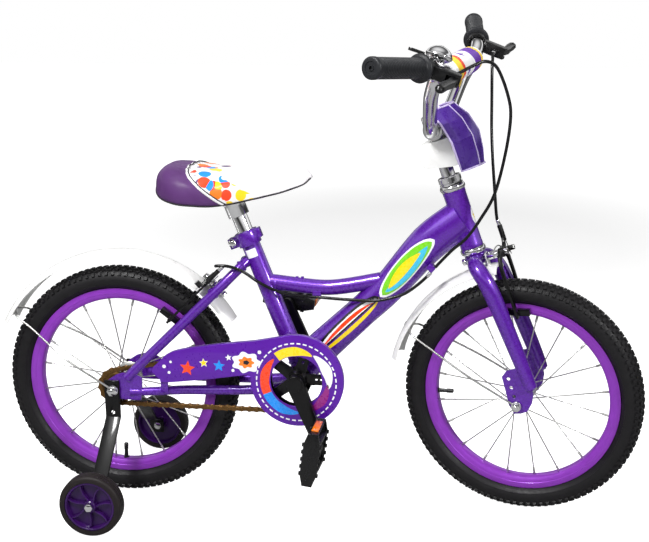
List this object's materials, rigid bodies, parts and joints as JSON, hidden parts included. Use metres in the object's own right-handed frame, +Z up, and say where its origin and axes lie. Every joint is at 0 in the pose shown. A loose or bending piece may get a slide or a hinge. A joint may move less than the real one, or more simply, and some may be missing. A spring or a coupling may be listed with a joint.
{
  "type": "child's bicycle with stabilisers",
  "caption": "Child's bicycle with a curved low frame, chain drive with a guard, rim brakes, mudguards, a padded crossbar and removable side wheels for a learning rider.",
  "frame": {"origin": "on the ground under the rear axle, in the bicycle's middle plane", "axes": "+X forward from the rear axle, +Y to the rider's left, +Z up"},
  "size_m": [1.054, 0.5736, 0.7879],
  "materials": {
    "purple_paint": "gloss metallic purple paint",
    "guard_paint": "gloss purple paint with a printed pattern",
    "plate_purple": "gloss purple plastic with a pale lilac edge",
    "rim_violet": "violet paint",
    "chrome": "bright chrome plating",
    "zinc": "plain bright zinc plating",
    "black_steel": "black satin paint",
    "chain_steel": "bronze coloured steel",
    "black_plastic": "black moulded plastic",
    "cable_black": "black plastic casing over steel",
    "white_plastic": "white moulded plastic",
    "saddle_vinyl": "printed vinyl, purple behind and white in front",
    "pad_vinyl": "white vinyl with a coloured print",
    "grip_rubber": "moulded rubber",
    "tyre_rubber": "black knobbed tread, smooth sides",
    "stabiliser_rubber": "smooth black rubber",
    "stabiliser_purple": "dark purple plastic"
  },
  "bodies": {
    "frame": {"frame": "purple_paint", "seat_clamp": "purple_paint", "seat_clamp_bolt": "chrome", "headset_upper_cup": "chrome", "headset_lower_cup": "chrome", "rear_axle": "chrome", "stabiliser_bracket_right": "black_steel", "stabiliser_bracket_left": "black_steel", "stabiliser_axle_right": "chrome", "stabiliser_axle_left": "chrome", "chain_guard": "guard_paint", "chain": "chain_steel", "rear_mudguard": "white_plastic", "rear_mudguard_stay": "zinc", "rear_brake_bolt": "chrome", "rear_brake_cable": "cable_black"},
    "seat": {"seat_post": "chrome", "saddle_frame": "black_steel", "saddle_base": "black_plastic", "saddle_cover": "saddle_vinyl"},
    "steering": {"fork": "purple_paint", "headset_locknut": "chrome", "stem": "chrome", "handlebar": "chrome", "crossbar_pad": "pad_vinyl", "grip_right": "grip_rubber", "grip_left": "grip_rubber", "lever_bracket_right": "black_plastic", "lever_bracket_left": "black_plastic", "bell": "chrome", "front_plate": "plate_purple", "front_plate_housing": "white_plastic", "front_axle": "chrome", "front_mudguard": "white_plastic", "front_mudguard_stay": "zinc", "front_brake_bolt": "chrome", "front_brake_cable": "cable_black", "rear_brake_cable_loop": "cable_black"},
    "front_wheel": {"front_tyre": "tyre_rubber", "front_rim": "rim_violet", "front_hub_and_spokes": "zinc"},
    "rear_wheel": {"rear_tyre": "tyre_rubber", "rear_rim": "rim_violet", "rear_hub_and_spokes": "zinc"},
    "freewheel": {"freewheel_sprocket": "chain_steel"},
    "crank": {"crank": "black_steel", "chainring": "black_steel"},
    "pedal_right": {"pedal_right": "black_plastic"},
    "pedal_left": {"pedal_left": "black_plastic"},
    "brake_lever_right": {"brake_lever_right": "black_plastic"},
    "brake_lever_left": {"brake_lever_left": "black_plastic"},
    "front_brake_arm_right": {"front_brake_arm_right": "black_steel"},
    "front_brake_arm_left": {"front_brake_arm_left": "black_steel"},
    "rear_brake_arm_right": {"rear_brake_arm_right": "black_steel"},
    "rear_brake_arm_left": {"rear_brake_arm_left": "black_steel"},
    "bell_lever": {"bell_lever": "black_plastic"},
    "stabiliser_wheel_right": {"stabiliser_hub_right": "stabiliser_purple", "stabiliser_tyre_right": "stabiliser_rubber"},
    "stabiliser_wheel_left": {"stabiliser_hub_left": "stabiliser_purple", "stabiliser_tyre_left": "stabiliser_rubber"}
  },
  "joints": [
    {"name": "steering", "type": "hinge", "parent": "frame", "child": "steering", "pos_m": [0.56344, 0, 0.478], "axis": [-0.3256, 0, 0.9455], "range_deg": [-39, 61], "deforming": ["rear_brake_cable_loop"]},
    {"name": "front_wheel_spin", "type": "hinge", "parent": "steering", "child": "front_wheel", "pos_m": [0.66297, -0.00038, 0.19499], "axis": [0.1788, 0.982, 0.0616], "continuous": true},
    {"name": "rear_wheel_spin", "type": "hinge", "parent": "frame", "child": "rear_wheel", "pos_m": [0, 0, 0.195], "axis": [0, 1, 0], "continuous": true},
    {"name": "crank_spin", "type": "hinge", "parent": "frame", "child": "crank", "pos_m": [0.303, 0, 0.221], "axis": [0, 1, 0], "continuous": true},
    {"name": "freewheel_spin", "type": "hinge", "parent": "frame", "child": "freewheel", "pos_m": [0, 0, 0.195], "axis": [0, 1, 0], "continuous": true},
    {"name": "pedal_right_spin", "type": "hinge", "parent": "crank", "child": "pedal_right", "pos_m": [0.34042, -0.111, 0.12504], "axis": [0, 1, 0], "continuous": true},
    {"name": "pedal_left_spin", "type": "hinge", "parent": "crank", "child": "pedal_left", "pos_m": [0.26559, 0.111, 0.31696], "axis": [0, 1, 0], "continuous": true},
    {"name": "stabiliser_right_spin", "type": "hinge", "parent": "frame", "child": "stabiliser_wheel_right", "pos_m": [0, -0.187, 0.05], "axis": [0, 1, 0], "continuous": true},
    {"name": "stabiliser_left_spin", "type": "hinge", "parent": "frame", "child": "stabiliser_wheel_left", "pos_m": [0, 0.187, 0.05], "axis": [0, 1, 0], "continuous": true},
    {"name": "brake_lever_right", "type": "hinge", "parent": "steering", "child": "brake_lever_right", "pos_m": [0.55602, -0.16816, 0.71271], "axis": [-0.3294, 0.1187, -0.9367], "range_deg": [0, 20], "stiffness_Nm_per_rad": 0.05},
    {"name": "brake_lever_left", "type": "hinge", "parent": "steering", "child": "brake_lever_left", "pos_m": [0.61037, 0.13036, 0.73143], "axis": [0.3294, -0.1187, 0.9367], "range_deg": [0, 20], "stiffness_Nm_per_rad": 0.05},
    {"name": "rear_brake_arm_right", "type": "hinge", "parent": "frame", "child": "rear_brake_arm_right", "pos_m": [0.165, 0, 0.356], "axis": [0.7051, 0, -0.7091], "range_deg": [0, 1.3]},
    {"name": "rear_brake_arm_left", "type": "hinge", "parent": "frame", "child": "rear_brake_arm_left", "pos_m": [0.165, 0, 0.356], "axis": [-0.7051, 0, 0.7091], "range_deg": [0, 1.3]},
    {"name": "front_brake_arm_right", "type": "hinge", "parent": "steering", "child": "front_brake_arm_right", "pos_m": [0.58427, 0, 0.41749], "axis": [0.9285, -0.1891, 0.3197], "range_deg": [0, 1.14]},
    {"name": "front_brake_arm_left", "type": "hinge", "parent": "steering", "child": "front_brake_arm_left", "pos_m": [0.58427, 0, 0.41749], "axis": [-0.9285, 0.1891, -0.3197], "range_deg": [0, 1.14]},
    {"name": "bell_lever", "type": "hinge", "parent": "steering", "child": "bell_lever", "pos_m": [0.50804, -0.13503, 0.74436], "axis": [0.2947, 0.1934, 0.9358], "range_deg": [0, 25], "stiffness_Nm_per_rad": 0.01},
    {"name": "seat_height", "type": "slide", "parent": "frame", "child": "seat", "axis": [-0.3616, 0, 0.9323], "range_m": [-0.025, 0.06]}
  ],
  "couplings": [
    {"joint": "freewheel_spin", "follows": "crank_spin", "ratio": 2},
    {"joint": "rear_brake_arm_right", "follows": "brake_lever_right", "ratio": 0.065},
    {"joint": "rear_brake_arm_left", "follows": "brake_lever_right", "ratio": 0.065},
    {"joint": "front_brake_arm_right", "follows": "brake_lever_left", "ratio": 0.057},
    {"joint": "front_brake_arm_left", "follows": "brake_lever_left", "ratio": 0.057}
  ]
}
